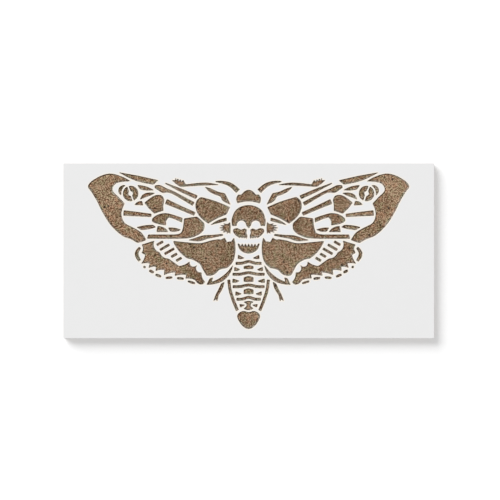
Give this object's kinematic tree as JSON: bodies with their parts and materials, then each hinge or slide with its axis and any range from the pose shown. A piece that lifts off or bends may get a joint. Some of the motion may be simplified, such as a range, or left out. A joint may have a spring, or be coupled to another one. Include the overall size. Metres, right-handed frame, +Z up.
{
  "type": "moth stencil on a fibreboard backing",
  "caption": "Flat plastic stencil sheet with a death's-head hawkmoth, wings spread, cut through it, lying on a brown fibreboard backing that shows in the cut-outs.",
  "frame": {"origin": "on the underside of the backing board, below the middle of the sheet", "axes": "+X along the sheet's long side, +Y towards the moth's head, +Z up out of the sheet's upper face"},
  "size_m": [0.305, 0.144, 0.0068],
  "materials": {
    "stencil_sheet": "pale grey-white plastic film with a fine satin surface and slightly lighter cut edges",
    "backing_board": "matt brown fibreboard, mottled with fine fibres and a few dark flecks"
  },
  "bodies": {
    "root": {"stencil_sheet": "stencil_sheet", "backing_board": "backing_board"}
  },
  "joints": []
}
